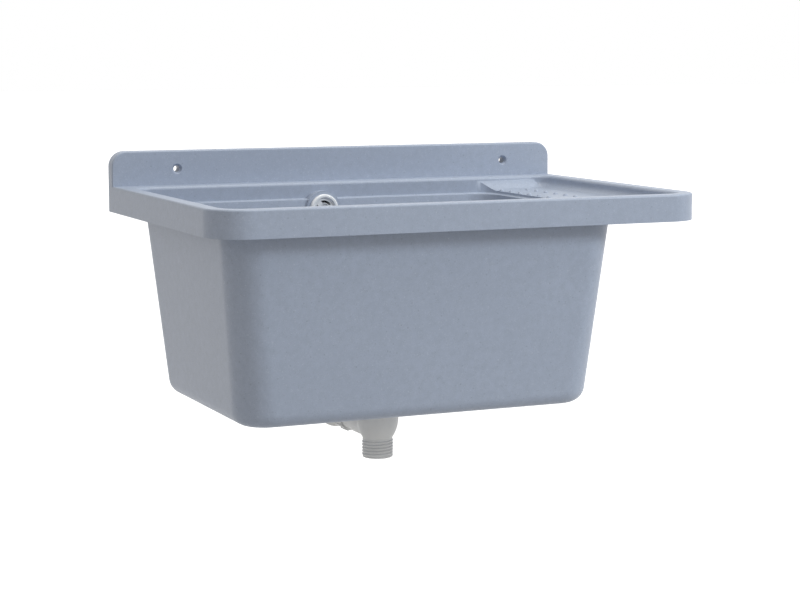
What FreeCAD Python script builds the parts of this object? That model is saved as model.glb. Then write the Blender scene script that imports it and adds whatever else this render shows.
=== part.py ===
import FreeCAD, Part
import math
import os

from FreeCAD import Vector

# All lengths are in millimetres. X runs along the wall, +Y goes back to the wall, +Z is up.
# The origin lies on the wall face, midway between the two wall-screw holes.

# Basin: rim, skirt, tray and backsplash
sink_width = 610.0
sink_depth = 410.0
rim_top_width = 20.0
rim_back_width = 26.0
rim_corner_r = 45.0
rim_edge_r = 5.0
rim_inner_edge_r = 4.0
rim_inner_wall = 5.0
skirt_height = 32.0
skirt_wall = 6.0
tray_wall = 6.0
tray_corner_r = 22.0
tray_cove_r = 1.4
tray_depth = 21.0
ledge_width = 10.0
side_ledge_width = 7.0
ledge_edge_r = 1.0
backsplash_rise = 43.0
backsplash_wall = 16.0
backsplash_corner_r = 19.0
backsplash_edge_r = 4.0

# Basin: wall-screw holes
screw_pitch = 456.0
screw_from_left = 84.0
screw_above_rim = 20.0
screw_hole_d = 8.0
screw_sink_d = 13.0
screw_sink_depth = 3.0

# Basin: drainboard with its bumps
drainboard_width = 80.0
drainboard_step = 3.6
drainboard_rise = 2.4
drainboard_cove_r = 9.0
drainboard_back_run = 20.0
bump_r = 3.2
bump_proud = 2.4
bump_pitch = 26.0
bump_row_pitch = 31.0
bump_lead = 5.0
bump_margin = 18.0
bump_end = 40.0

# Basin: tub
tub_drop = 250.0
tub_wall = 6.5
tub_corner_r = 34.0
tub_inner_edge_r = 24.0
tub_outer_edge_r = 20.0
tub_draft_share = 0.097
drain_from_wall = 224.0
drain_land = 5.0
dish_r = 130.0
dish_depth = 3.0

# Basin: overflow boss
overflow_below_rim = 33.5
overflow_boss_r = 23.0
overflow_pad_proud = 0.6
overflow_seat_from_wall = 35.0
overflow_bore_r = 12.2

# Waste: flange, cup, strainer and screw
flange_r = 35.0
sheet = 1.2
recess_depth = 2.7
recess_gap = 1.0
drain_hole_r = 26.0
cup_top_r = 21.8
cup_taper = 1.0
cup_depth = 16.5
strainer_hole_r = 3.2
strainer_ring_r = 13.0
strainer_count = 8
waste_screw_r = 3.0
waste_head_r = 6.0
waste_head_height = 3.2
flange_seal_height = 1.5
body_seal_height = 2.5
seal_r = 33.0

# Drain body: bell, spider, neck, side port and threaded tail
body_flange_r = 34.0
body_flange_height = 4.0
bell_r = 25.5
bell_drop = 48.0
bell_round = 24.0
body_wall = 2.8
tail_r = 18.9
tail_bore_r = 15.6
neck_r = 18.2
neck_length = 6.0
tail_length = 18.0
spider_hub_r = 7.5
spider_hub_height = 14.0
spider_arm_width = 4.0
spider_arm_height = 9.0
spider_arm_count = 3
insert_r = 4.6
insert_length = 12.0
port_drop = 38.5
port_reach = 96.0
port_r = 14.0
port_bore_r = 11.0

# Hose and its two unions
nut_r = 17.2
nut_grip_height = 1.2
nut_grip_width = 3.2
nut_grip_count = 10
nut_overlap = 14.0
nut_shoulder = 3.0
hose_seal_height = 2.0
hose_collar_r = 13.5
hose_collar_height = 3.0
hose_cuff_r = 12.2
hose_cuff_length = 22.0
hose_r = 13.4
hose_bore_r = 9.5
hose_from_wall = 20.5
hose_sag = 20.0
hose_dip_share = 0.13
hose_bend_share = 0.72

# Overflow: rosette, elbow and screw
rosette_r = 18.75
rosette_height = 4.2
rosette_edge_r = 1.8
rosette_mouth_r = 11.3
rosette_spigot_wall = 1.3
rosette_spigot_length = 8.5
rosette_hub_r = 6.8
rosette_hub_sink = 1.5
rosette_hub_height = 5.0
rosette_spoke_width = 2.6
rosette_spoke_count = 3
overflow_screw_r = 2.4
overflow_head_r = 4.2
overflow_head_height = 2.4
overflow_seal_height = 2.0
overflow_seal_r = 19.0
elbow_flange_r = 20.0
elbow_flange_height = 3.0
elbow_chamber_r = 14.0
elbow_depth = 24.0
elbow_wall = 2.4
elbow_neck_r = 11.0
elbow_neck_end = 25.0
elbow_spigot_end = 47.0
elbow_hub_r = 6.0
elbow_hub_length = 12.0
elbow_insert_r = 3.6
elbow_insert_length = 8.0

# Plug: stopper, stud and wire bail
plug_cap_r = 27.0
plug_cap_height = 3.5
plug_edge_r = 1.4
plug_body_height = 9.0
plug_hollow_r = 14.0
plug_hollow_depth = 4.5
stud_r = 4.5
stud_height = 5.0
stud_edge_r = 1.2
stud_stem_r = 2.5
stud_stem_length = 7.0
bail_wire_r = 1.25
bail_bore_r = 1.3
bail_half_width = 9.0
bail_bend_r = 2.6
bail_leg = 5.0
bail_pin_gap = 1.0

# Clearances
overrun = 20.0
slip = 0.3
thread_gap = 0.1

# Places worked out from the sizes
x_left = -(screw_from_left + screw_pitch / 2)
x_right = x_left + sink_width
y_wall = 0.0
y_front = y_wall - sink_depth
rim_z = -screw_above_rim
skirt_z = rim_z - skirt_height
top_z = rim_z + backsplash_rise
ledge_z = rim_z - tray_depth
tub_z = rim_z - tub_drop
tray_left = x_left + rim_top_width
tray_right = x_right - rim_top_width
tray_front = y_front + rim_top_width
tray_back = y_wall - backsplash_wall - rim_back_width
tub_left = tray_left + ledge_width
bay_right = tray_right - drainboard_width
tub_right = bay_right - side_ledge_width
tub_front = tray_front + ledge_width
tub_back = tray_back - side_ledge_width
drain_x = (tub_left + tub_right) / 2
drain_y = y_wall - drain_from_wall
recess_z = tub_z + drain_land
dish_low_z = recess_z + recess_depth
floor_z = dish_low_z + dish_depth
overflow_z = rim_z - overflow_below_rim
overflow_wall_y = tub_back - tub_draft_share * (ledge_z - overflow_z)
pad_y = overflow_wall_y - tub_draft_share * overflow_boss_r - overflow_pad_proud
seat_y = y_wall - overflow_seat_from_wall
hose_y = y_wall - hose_from_wall
board_z = ledge_z + drainboard_step
lip_z = recess_z + flange_seal_height
strainer_z = lip_z - cup_depth
body_top_z = tub_z - body_seal_height
bell_low_z = tub_z - bell_drop
tail_top_z = bell_low_z - neck_length
tail_low_z = tail_top_z - tail_length
hub_top_z = strainer_z - slip
port_z = tub_z - port_drop
port_end_y = drain_y + port_reach
hose_start_y = port_end_y + hose_seal_height
spigot_end_z = overflow_z - elbow_spigot_end
hose_top_z = spigot_end_z - hose_seal_height
elbow_y = seat_y + overflow_seal_height
elbow_back_y = elbow_y + elbow_depth
elbow_hub_y = elbow_back_y - elbow_hub_length
cap_z = lip_z + sheet + slip
cap_top_z = cap_z + plug_cap_height
bail_z = cap_top_z + bail_wire_r + slip
drain_axis = Vector(drain_x, drain_y, 0)

up = Vector(0, 0, 1)
along = Vector(1, 0, 0)
back = Vector(0, 1, 0)


def edges_where(shape, test):
    """Edges whose bounding box passes a test."""
    return [edge for edge in shape.Edges if test(edge.BoundBox)]


def near(a, b):
    """Whether two coordinates are the same place."""
    return abs(a - b) < slip / 10


def is_level(box, z):
    """Whether an edge lies flat at height z."""
    return near(box.ZMin, z) and near(box.ZMax, z)


def rounded_outline(x0, x1, y0, y1, z, front_r, back_r):
    """Closed wire of a rectangle with rounded front and back corners."""
    corners = [
        (x1 - front_r, y0 + front_r, front_r, -90),
        (x1 - back_r, y1 - back_r, back_r, 0),
        (x0 + back_r, y1 - back_r, back_r, 90),
        (x0 + front_r, y0 + front_r, front_r, 180),
    ]
    ends = []
    arcs = []
    for x, y, r, start in corners:
        a0 = math.radians(start)
        a1 = math.radians(start + 90)
        ends.append((
            Vector(x + r * math.cos(a0), y + r * math.sin(a0), z),
            Vector(x + r * math.cos(a1), y + r * math.sin(a1), z),
        ))
        if r > 0:
            circle = Part.Circle(Vector(x, y, z), up, r)
            arcs.append(Part.ArcOfCircle(circle, a0, a1).toShape())
        else:
            arcs.append(None)
    edges = []
    for i, arc in enumerate(arcs):
        if arc:
            edges.append(arc)
        edges.append(Part.makeLine(ends[i][1], ends[(i + 1) % len(ends)][0]))
    return Part.Wire(edges)


def slab(x0, x1, y0, y1, z0, z1, front_r, back_r):
    """Upright prism with rounded corners."""
    face = Part.Face(rounded_outline(x0, x1, y0, y1, z0, front_r, back_r))
    return face.extrude(Vector(0, 0, z1 - z0))


def prism(corners, run):
    """Flat-sided bar from the corner points of one end."""
    return Part.Face(Part.makePolygon(corners + corners[:1])).extrude(run)


def turned(profile, place, axis):
    """Solid of revolution from (radius, height) points, its height along an axis."""
    return turned_wire(Part.makePolygon([Vector(r, 0, h) for r, h in profile + profile[:1]]), place, axis)


def turned_wire(wire, place, axis):
    """Solid of revolution from a closed outline beside the axis."""
    solid = Part.Face(wire).revolve(Vector(0, 0, 0), up, 360)
    solid.Placement = FreeCAD.Placement(place, FreeCAD.Rotation(up, axis))
    return solid


def ring(outer_r, inner_r, height, place, axis):
    """Flat ring that starts at a place and grows along an axis."""
    outer = Part.makeCylinder(outer_r, height, place, axis)
    return outer.cut(Part.makeCylinder(inner_r, height, place, axis))


def beam(width, x0, x1, z0, z1):
    """Bar along X, centred on Y."""
    return Part.makeBox(x1 - x0, width, z1 - z0, Vector(x0, -width / 2, z0))


def drainboard_height(x):
    """Height of the drainboard's surface at a place across it."""
    return board_z + drainboard_rise * (x - bay_right) / drainboard_width


def bay_volume(grow, cove_r):
    """Room of the bay over the tub, down to the ledge."""
    corner_r = tray_corner_r + grow
    bay = slab(
        tray_left - grow, bay_right + grow, tray_front - grow, tray_back + grow,
        ledge_z - grow, rim_z - rim_inner_edge_r, corner_r, corner_r,
    )
    return bay.makeFillet(cove_r, edges_where(bay, lambda box: is_level(box, ledge_z - grow)))


def drainboard_volume(grow, cove_r):
    """Room over the drainboard, open towards the bay and coved along its other sides."""
    corner_r = tray_corner_r + grow
    x0 = bay_right - 2 * corner_r
    x1 = tray_right + grow
    y0 = tray_front - grow
    y1 = tray_back + grow
    high = rim_z - rim_inner_edge_r
    room = prism([
        Vector(x0, y0, drainboard_height(x0) - grow), Vector(x1, y0, drainboard_height(x1) - grow),
        Vector(x1, y0, high), Vector(x0, y0, high),
    ], Vector(0, y1 - y0, 0))
    walls = slab(x0 - 2 * corner_r, x1, y0, y1, ledge_z - overrun, high, corner_r, corner_r)
    volume = room.common(walls)
    foot = edges_where(volume, lambda box: box.ZMax < high - slip and box.XMax > x0 + slip)
    return volume.makeFillet(cove_r, foot).cut(drainboard_back(grow))


def drainboard_back(grow):
    """Hollow slope that rises from the drainboard to the rim along the back."""
    x0 = bay_right - 2 * tray_corner_r - 2 * grow
    wall_y = tray_back + grow
    low = board_z - grow - slip
    high = rim_z - rim_inner_wall
    run = drainboard_back_run
    rise = high - low
    radius = (run * run + rise * rise) / (2 * rise)
    half = math.asin(run / radius) / 2
    foot = Vector(x0, wall_y - run, low)
    middle = foot + Vector(0, radius * math.sin(half), radius * (1 - math.cos(half)))
    crest = Vector(x0, wall_y, high)
    slope = Part.Wire([
        Part.Arc(foot, middle, crest).toShape(),
        Part.makeLine(crest, crest + back * overrun),
        Part.makeLine(crest + back * overrun, Vector(x0, wall_y + overrun, low)),
        Part.makeLine(Vector(x0, wall_y + overrun, low), foot),
    ])
    return Part.Face(slope).extrude(along * (tray_right + 2 * grow - x0))


def tub_volume(grow, high, low, edge_r):
    """Tapered tub with rounded corners and a rounded bottom edge."""
    corner_r = tub_corner_r + grow
    wires = []
    for z in (high, low):
        shift = tub_draft_share * (ledge_z - z) - grow
        wires.append(rounded_outline(
            tub_left + shift, tub_right - shift, tub_front + shift, tub_back - shift,
            z, corner_r, corner_r,
        ))
    volume = Part.makeLoft(wires, True, True)
    return volume.makeFillet(edge_r, edges_where(volume, lambda box: is_level(box, low)))


def drainboard_bumps():
    """Staggered rows of low round bumps that keep things off the drainboard."""
    first_x = bay_right + bump_lead
    rows = int((tray_right - bump_margin - first_x) / bump_row_pitch) + 1
    normal = Vector(-drainboard_rise, 0, drainboard_width).normalize()
    sunk = bump_r - bump_proud
    bumps = []
    for row in range(rows):
        x = first_x + row * bump_row_pitch
        y = tray_front + bump_end + (row % 2) * bump_pitch / 2
        while y <= tray_back - bump_end / 2:
            centre = Vector(x, y, drainboard_height(x)) - normal * sunk
            bumps.append(Part.makeSphere(bump_r, centre, normal, 0, 90, 360))
            y += bump_pitch
    return bumps


def sink_rim():
    """Rim with rounded edges, and the bay and the drainboard sunk into it."""
    block = slab(x_left, x_right, y_front, y_wall, skirt_z, rim_z, rim_corner_r, 0)
    brim = edges_where(block, lambda box: is_level(box, rim_z) and box.YMin < y_wall - slip)
    block = block.makeFillet(rim_edge_r, brim)
    block = block.cut(slab(
        tray_left, tray_right, tray_front, tray_back, rim_z - rim_inner_wall, rim_z + overrun,
        tray_corner_r, tray_corner_r,
    ))
    inner = edges_where(block, lambda box: is_level(box, rim_z) and (
        box.XMin > x_left + 2 * rim_edge_r and box.XMax < x_right - 2 * rim_edge_r
        and box.YMin > y_front + 2 * rim_edge_r and box.YMax < y_wall - backsplash_wall
    ))
    block = block.makeFillet(rim_inner_edge_r, inner)
    return block.cut([
        bay_volume(0, tray_cove_r), drainboard_volume(0, drainboard_cove_r),
    ])


def under_rim():
    """Hollow between the skirt and the outside of the tray and tub."""
    hollow = slab(
        x_left + skirt_wall, x_right - skirt_wall, y_front + skirt_wall, y_wall - skirt_wall,
        skirt_z - overrun, rim_z - tray_wall, rim_corner_r - skirt_wall, 0,
    )
    return hollow.cut([
        bay_volume(tray_wall, tray_cove_r + tray_wall),
        drainboard_volume(tray_wall, drainboard_cove_r + tray_wall),
        tub_shape_outside(),
    ])


def tub_shape_outside():
    """Outside of the tub, from the tray's floor down."""
    return tub_volume(tub_wall, ledge_z - tray_wall / 2, tub_z, tub_outer_edge_r)


def backsplash():
    """Plate against the wall with rounded upper corners and countersunk screw holes."""
    plate = slab(x_left, x_right, y_wall - backsplash_wall, y_wall, rim_z - tray_wall, top_z, 0, 0)
    upper = edges_where(plate, lambda box: near(box.ZMin, top_z) and near(box.XMin, box.XMax))
    plate = plate.makeFillet(backsplash_corner_r, upper)
    front_y = y_wall - backsplash_wall
    brim = edges_where(plate, lambda box: (
        near(box.YMin, front_y) and near(box.YMax, front_y) and box.ZMax > rim_z + slip
    ))
    plate = plate.makeFillet(backsplash_edge_r, brim)
    for x in (-screw_pitch / 2, screw_pitch / 2):
        mouth = Vector(x, front_y - overrun, 0)
        hole = Part.makeCylinder(screw_hole_d / 2, backsplash_wall + 2 * overrun, mouth, back)
        sink = Part.makeCone(
            screw_sink_d / 2, screw_hole_d / 2, screw_sink_depth, Vector(x, front_y, 0), back
        )
        plate = plate.cut([hole, sink])
    return plate


def sink_basin():
    """The whole moulding."""
    rim = sink_rim().cut(under_rim())
    body = rim.fuse([backsplash(), tub_shape_outside()])
    body = body.cut(tub_volume(0, ledge_z + overrun, floor_z, tub_inner_edge_r))
    lip = edges_where(body, lambda box: is_level(box, ledge_z) and (
        box.XMin > tub_left - slip and box.XMax < tub_right + slip
        and box.YMin > tub_front - slip and box.YMax < tub_back + slip
    ))
    body = body.makeFillet(ledge_edge_r, lip)
    boss = Part.makeCylinder(
        overflow_boss_r, seat_y - pad_y, Vector(drain_x, pad_y, overflow_z), back
    )
    body = body.fuse([boss] + drainboard_bumps())
    bore = Part.makeCylinder(
        overflow_bore_r, seat_y - pad_y + 2 * overrun,
        Vector(drain_x, pad_y - overrun, overflow_z), back,
    )
    dish = Part.makeCone(
        flange_r + recess_gap, dish_r, dish_depth, Vector(drain_x, drain_y, dish_low_z), up
    )
    recess = Part.makeCylinder(
        flange_r + recess_gap, recess_depth, Vector(drain_x, drain_y, recess_z), up
    )
    hole = Part.makeCylinder(
        drain_hole_r, drain_land + overrun, Vector(drain_x, drain_y, tub_z - overrun), up
    )
    return body.cut([bore, dish, recess, hole]).removeSplitter()


def at_drain(z):
    """Point on the drain's axis at a height."""
    return Vector(drain_x, drain_y, z)


def at_overflow(y):
    """Point on the overflow's axis at a distance from the wall."""
    return Vector(drain_x, y, overflow_z)


def around(count, first_share):
    """Angles in degrees of evenly spaced copies, the first at a share of a whole turn."""
    return [360 * (first_share + i / count) for i in range(count)]


def waste_flange():
    """Steel flange with its tapered cup and a strainer plate at the foot of the cup."""
    foot_r = cup_top_r - cup_taper
    flange = turned([
        (flange_r, 0), (cup_top_r, 0), (foot_r, -cup_depth), (waste_screw_r + slip, -cup_depth),
        (waste_screw_r + slip, sheet - cup_depth), (foot_r - sheet, sheet - cup_depth),
        (cup_top_r - sheet, sheet), (flange_r, sheet),
    ], at_drain(lip_z), up)
    holes = []
    for angle in around(strainer_count, 0):
        hole = Part.makeCylinder(
            strainer_hole_r, 2 * sheet,
            Vector(drain_x + strainer_ring_r, drain_y, strainer_z - sheet / 2), up,
        )
        hole.rotate(drain_axis, up, angle)
        holes.append(hole)
    return flange.cut(holes)


def headed_screw(head_r, head_height, shank_r, length, place, axis):
    """Round-headed screw: the head stands on a place, the shank runs against the axis."""
    head = Part.makeCylinder(head_r, head_height, place, axis)
    rim = edges_where(head, lambda box: box.DiagonalLength > head_r)
    crown = [edge for edge in rim if (edge.BoundBox.Center - place).dot(axis) > head_height / 2]
    head = head.makeFillet(head_height / 2, crown)
    return head.fuse(Part.makeCylinder(shank_r, length, place, axis * -1))


def waste_screw():
    """Screw that pulls the flange down on the drain body."""
    seat_z = strainer_z + sheet
    end_z = hub_top_z - insert_length
    return headed_screw(
        waste_head_r, waste_head_height, waste_screw_r, seat_z - end_z, at_drain(seat_z), up
    )


def waste_insert():
    """Threaded insert in the drain body's hub."""
    return ring(
        insert_r, waste_screw_r + thread_gap, insert_length,
        at_drain(hub_top_z - insert_length), up,
    )


def flange_seal():
    """Seal under the steel flange."""
    return ring(seal_r, drain_hole_r, flange_seal_height, at_drain(recess_z), up)


def body_seal():
    """Seal between the underside of the tub and the drain body."""
    return ring(seal_r, drain_hole_r, body_seal_height, at_drain(body_top_z), up)


def bell_solid(top_r, foot_r, top_z, low_z):
    """Upright bell whose wall turns in to its foot on an arc, with a straight neck below."""
    round_z = bell_low_z + bell_round
    inset = top_r - foot_r
    radius = (bell_round * bell_round + inset * inset) / (2 * inset)
    half = math.asin(bell_round / radius) / 2
    middle = Vector(top_r - radius * (1 - math.cos(half)), 0, round_z - radius * math.sin(half))
    start = Vector(top_r, 0, round_z)
    end = Vector(foot_r, 0, bell_low_z)
    return turned_wire(Part.Wire([
        Part.makeLine(Vector(0, 0, top_z), Vector(top_r, 0, top_z)),
        Part.makeLine(Vector(top_r, 0, top_z), start),
        Part.Arc(start, middle, end).toShape(),
        Part.makeLine(end, Vector(foot_r, 0, low_z)),
        Part.makeLine(Vector(foot_r, 0, low_z), Vector(0, 0, low_z)),
        Part.makeLine(Vector(0, 0, low_z), Vector(0, 0, top_z)),
    ]), drain_axis, up)


def drain_body():
    """Bell with a spider and hub inside, a side port towards the wall and a neck below."""
    outside = bell_solid(bell_r, neck_r, body_top_z, tail_top_z)
    flange = Part.makeCylinder(
        body_flange_r, body_flange_height, at_drain(body_top_z - body_flange_height), up
    )
    port = Part.makeCylinder(port_r, port_reach, at_drain(port_z), back)
    inside = bell_solid(
        bell_r - body_wall, tail_bore_r, body_top_z + overrun, tail_top_z - overrun
    )
    port_bore = Part.makeCylinder(port_bore_r, port_reach, at_drain(port_z), back)
    shell = outside.fuse([flange, port]).cut([inside, port_bore])
    spider = [Part.makeCylinder(
        spider_hub_r, spider_hub_height, at_drain(hub_top_z - spider_hub_height), up
    )]
    for angle in around(spider_arm_count, 1 / 12):
        arm = beam(
            spider_arm_width, spider_hub_r / 2, bell_r - body_wall / 2,
            hub_top_z - spider_arm_height, hub_top_z,
        )
        arm.rotate(Vector(0, 0, 0), up, angle)
        arm.translate(drain_axis)
        spider.append(arm)
    socket = Part.makeCylinder(insert_r, insert_length, at_drain(hub_top_z - insert_length), up)
    tip = Part.makeCylinder(
        waste_screw_r + slip, spider_hub_height, at_drain(hub_top_z - spider_hub_height), up
    )
    return shell.fuse(spider).cut([socket, tip]).removeSplitter()


def drain_tail():
    """Tail under the neck, for the nut of a trap."""
    return ring(tail_r, tail_bore_r, tail_length, at_drain(tail_low_z), up)


def hose_nut(place, axis):
    """Union nut: its mouth goes over a threaded port, its shoulder holds the hose's collar."""
    bore_length = nut_overlap + hose_seal_height + hose_collar_height
    length = bore_length + nut_shoulder
    start = place - axis * nut_overlap
    nut = Part.makeCylinder(nut_r - nut_grip_height, length, Vector(0, 0, 0), up)
    grips = []
    for angle in around(nut_grip_count, 0):
        grip = beam(nut_grip_width, nut_r / 2, nut_r, 0, length - nut_shoulder)
        grip.rotate(Vector(0, 0, 0), up, angle)
        grips.append(grip)
    nut = nut.fuse(grips).removeSplitter()
    nut = nut.cut([
        Part.makeCylinder(port_r + slip, bore_length, Vector(0, 0, 0), up),
        Part.makeCylinder(hose_cuff_r + slip, length, Vector(0, 0, 0), up),
    ])
    nut.Placement = FreeCAD.Placement(start, FreeCAD.Rotation(up, axis))
    return nut


def hose_seal(place, axis):
    """Flat ring between a port's end and the hose's collar."""
    return ring(hose_collar_r, port_bore_r, hose_seal_height, place, axis)


def lower_port_end():
    """Centre of the end face of the drain body's side port."""
    return Vector(drain_x, port_end_y, port_z)


def upper_port_end():
    """Centre of the end face of the elbow's spigot."""
    return Vector(drain_x, hose_y, spigot_end_z)


def hose_route():
    """Wire of the hose's axis: back from the port with a slight sag, then up behind the tub."""
    start = Vector(drain_x, hose_start_y, port_z)
    end = Vector(drain_x, hose_y, hose_top_z)
    dip = start + back * (hose_collar_height + hose_cuff_length)
    low = Vector(drain_x, hose_y, port_z - hose_sag)
    run = low - dip
    length = run.Length
    heading = run * (1 / length)
    dip_in = hose_dip_share * length
    bend_in = hose_bend_share * length
    dip_start = dip - back * dip_in
    dip_end = dip + heading * dip_in
    bend_start = low - heading * bend_in
    bend_end = low + up * bend_in
    return Part.Wire([
        Part.makeLine(start, dip_start),
        tangent_arc(dip_start, dip, dip_end),
        Part.makeLine(dip_end, bend_start),
        tangent_arc(bend_start, low, bend_end),
        Part.makeLine(bend_end, end),
    ])


def tangent_arc(start, corner, end):
    """Arc that rounds a corner between two points at the same distance from it."""
    chord_middle = (start + end) * (1 / 2)
    inward = chord_middle - corner
    half = (end - start).Length / 2
    reach = (start - corner).Length
    radius = reach * half / inward.Length
    sagitta = radius - math.sqrt(radius * radius - half * half)
    middle = chord_middle - inward * (sagitta / inward.Length)
    return Part.Arc(start, middle, end).toShape()


def swept(route, radius, place, axis):
    """Round bar along a route that starts at a place and heads along an axis."""
    outline = Part.Wire(Part.Circle(place, axis, radius).toShape())
    return route.makePipeShell([outline], True, True)


def overflow_hose():
    """Hose with a plain cuff and a collar at both ends."""
    route = hose_route()
    start = Vector(drain_x, hose_start_y, port_z)
    end = Vector(drain_x, hose_y, hose_top_z)
    tube = swept(route, hose_cuff_r, start, back)
    ends = []
    for place, axis in ((start, back), (end, up * -1)):
        ends.append(Part.makeCylinder(hose_collar_r, hose_collar_height, place, axis))
    sleeve = swept(route, hose_r, start, back)
    for place, axis in ((start, back), (end, up * -1)):
        plain = hose_collar_height + hose_cuff_length
        sleeve = sleeve.cut(Part.makeCylinder(2 * hose_r, plain, place, axis))
    return tube.fuse([sleeve] + ends).cut(swept(route, hose_bore_r, start, back))


def overflow_rosette():
    """White ring with a spigot in the basin's bore and a sunk hub on spokes."""
    front = back * -1
    place = at_overflow(pad_y)
    face = ring(rosette_r, rosette_mouth_r, rosette_height, place, front)
    brim = edges_where(face, lambda box: near(box.YMin, pad_y - rosette_height)
                       and near(box.YMax, pad_y - rosette_height))
    face = face.makeFillet(rosette_edge_r, brim)
    spigot_r = overflow_bore_r - slip
    spigot = ring(
        spigot_r, spigot_r - rosette_spigot_wall, rosette_spigot_length, place, back
    )
    hub_y = pad_y + rosette_hub_sink
    hub = Part.makeCylinder(rosette_hub_r, rosette_hub_height, at_overflow(hub_y), back)
    spokes = []
    for angle in around(rosette_spoke_count, 1 / 4):
        spoke = beam(
            rosette_spoke_width, rosette_hub_r / 2, spigot_r - rosette_spigot_wall / 2,
            0, rosette_hub_height / 2,
        )
        spoke.rotate(Vector(0, 0, 0), up, angle)
        spoke.Placement = FreeCAD.Placement(
            at_overflow(hub_y + rosette_hub_height), FreeCAD.Rotation(up, front)
        ).multiply(spoke.Placement)
        spokes.append(spoke)
    hole = Part.makeCylinder(overflow_screw_r + slip, rosette_hub_height, at_overflow(hub_y), back)
    return face.fuse([spigot, hub] + spokes).cut(hole).removeSplitter()


def overflow_screw():
    """Screw through the rosette's hub into the elbow."""
    seat = pad_y + rosette_hub_sink
    end_y = elbow_hub_y + elbow_insert_length
    return headed_screw(
        overflow_head_r, overflow_head_height, overflow_screw_r, end_y - seat,
        at_overflow(seat), back * -1,
    )


def overflow_seal():
    """Seal between the back of the overflow boss and the elbow."""
    return ring(overflow_seal_r, overflow_bore_r, overflow_seal_height, at_overflow(seat_y), back)


def overflow_elbow():
    """Flanged chamber behind the tub with a threaded spigot that points down."""
    place = at_overflow(elbow_y)
    flange = Part.makeCylinder(elbow_flange_r, elbow_flange_height, place, back)
    chamber = Part.makeCylinder(elbow_chamber_r, elbow_depth, place, back)
    crown = edges_where(chamber, lambda box: near(box.YMin, elbow_back_y))
    chamber = chamber.makeFillet(elbow_wall, crown)
    axis_top = Vector(drain_x, hose_y, overflow_z)
    down = up * -1
    neck = Part.makeCylinder(elbow_neck_r, elbow_neck_end, axis_top, down)
    spigot_top = axis_top + down * elbow_neck_end
    spigot = Part.makeCylinder(port_r, elbow_spigot_end - elbow_neck_end, spigot_top, down)
    shell = flange.fuse([chamber, neck, spigot])
    shell = shell.cut([
        Part.makeCylinder(elbow_chamber_r - elbow_wall, elbow_depth - elbow_wall, place, back),
        Part.makeCylinder(elbow_neck_r - elbow_wall, elbow_spigot_end, axis_top, down),
        Part.makeCylinder(
            port_bore_r, elbow_spigot_end - elbow_neck_end - elbow_wall,
            spigot_top + down * elbow_wall, down,
        ),
    ])
    hub = Part.makeCylinder(elbow_hub_r, elbow_hub_length, at_overflow(elbow_hub_y), back)
    socket = Part.makeCylinder(
        elbow_insert_r, elbow_insert_length, at_overflow(elbow_hub_y), back
    )
    return shell.fuse(hub).cut(socket).removeSplitter()


def overflow_insert():
    """Threaded insert in the elbow's hub."""
    return ring(
        elbow_insert_r, overflow_screw_r + thread_gap, elbow_insert_length,
        at_overflow(elbow_hub_y), back,
    )


def drain_plug():
    """Rubber stopper: a cap over the flange and a tapered body in the cup."""
    top_r = cup_top_r - sheet - slip
    foot_r = top_r - cup_taper * plug_body_height / cup_depth
    foot_z = cap_z - plug_body_height
    plug = turned([
        (0, cap_top_z), (plug_cap_r, cap_top_z), (plug_cap_r, cap_z), (top_r, cap_z),
        (foot_r, foot_z), (plug_hollow_r, foot_z), (plug_hollow_r, foot_z + plug_hollow_depth),
        (0, foot_z + plug_hollow_depth),
    ], drain_axis, up)
    brim = edges_where(plug, lambda box: is_level(box, cap_top_z))
    plug = plug.makeFillet(plug_edge_r, brim)
    return plug.cut(Part.makeCylinder(
        stud_stem_r, stud_stem_length, at_drain(cap_top_z - stud_stem_length), up
    ))


def plug_stud():
    """Steel stud on the stopper, with a cross bore for the bail."""
    post = Part.makeCylinder(stud_r, stud_height, at_drain(cap_top_z), up)
    crown = edges_where(post, lambda box: is_level(box, cap_top_z + stud_height))
    post = post.makeFillet(stud_edge_r, crown)
    stem = Part.makeCylinder(
        stud_stem_r, stud_stem_length, at_drain(cap_top_z - stud_stem_length), up
    )
    bore = Part.makeCylinder(
        bail_bore_r, 2 * stud_r + 2 * overrun,
        Vector(drain_x - stud_r - overrun, drain_y, bail_z), along,
    )
    return post.fuse(stem).cut(bore)


def plug_bail():
    """Wire bail: two pins in the stud's bore, two legs and a half-round grip."""
    centre = Vector(drain_x, drain_y, bail_z)

    def spot(x, y):
        return centre + Vector(x, y, 0)

    wide = bail_half_width
    bend = bail_bend_r
    foot = -bend - bail_leg
    corner = bend * (1 - math.sqrt(1 / 2))
    route = Part.Wire([
        Part.makeLine(spot(bail_pin_gap, 0), spot(wide - bend, 0)),
        Part.Arc(spot(wide - bend, 0), spot(wide - corner, -corner), spot(wide, -bend)).toShape(),
        Part.makeLine(spot(wide, -bend), spot(wide, foot)),
        Part.Arc(spot(wide, foot), spot(0, foot - wide), spot(-wide, foot)).toShape(),
        Part.makeLine(spot(-wide, foot), spot(-wide, -bend)),
        Part.Arc(spot(-wide, -bend), spot(corner - wide, -corner), spot(bend - wide, 0)).toShape(),
        Part.makeLine(spot(bend - wide, 0), spot(-bail_pin_gap, 0)),
    ])
    return swept(route, bail_wire_r, spot(bail_pin_gap, 0), along)


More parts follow.
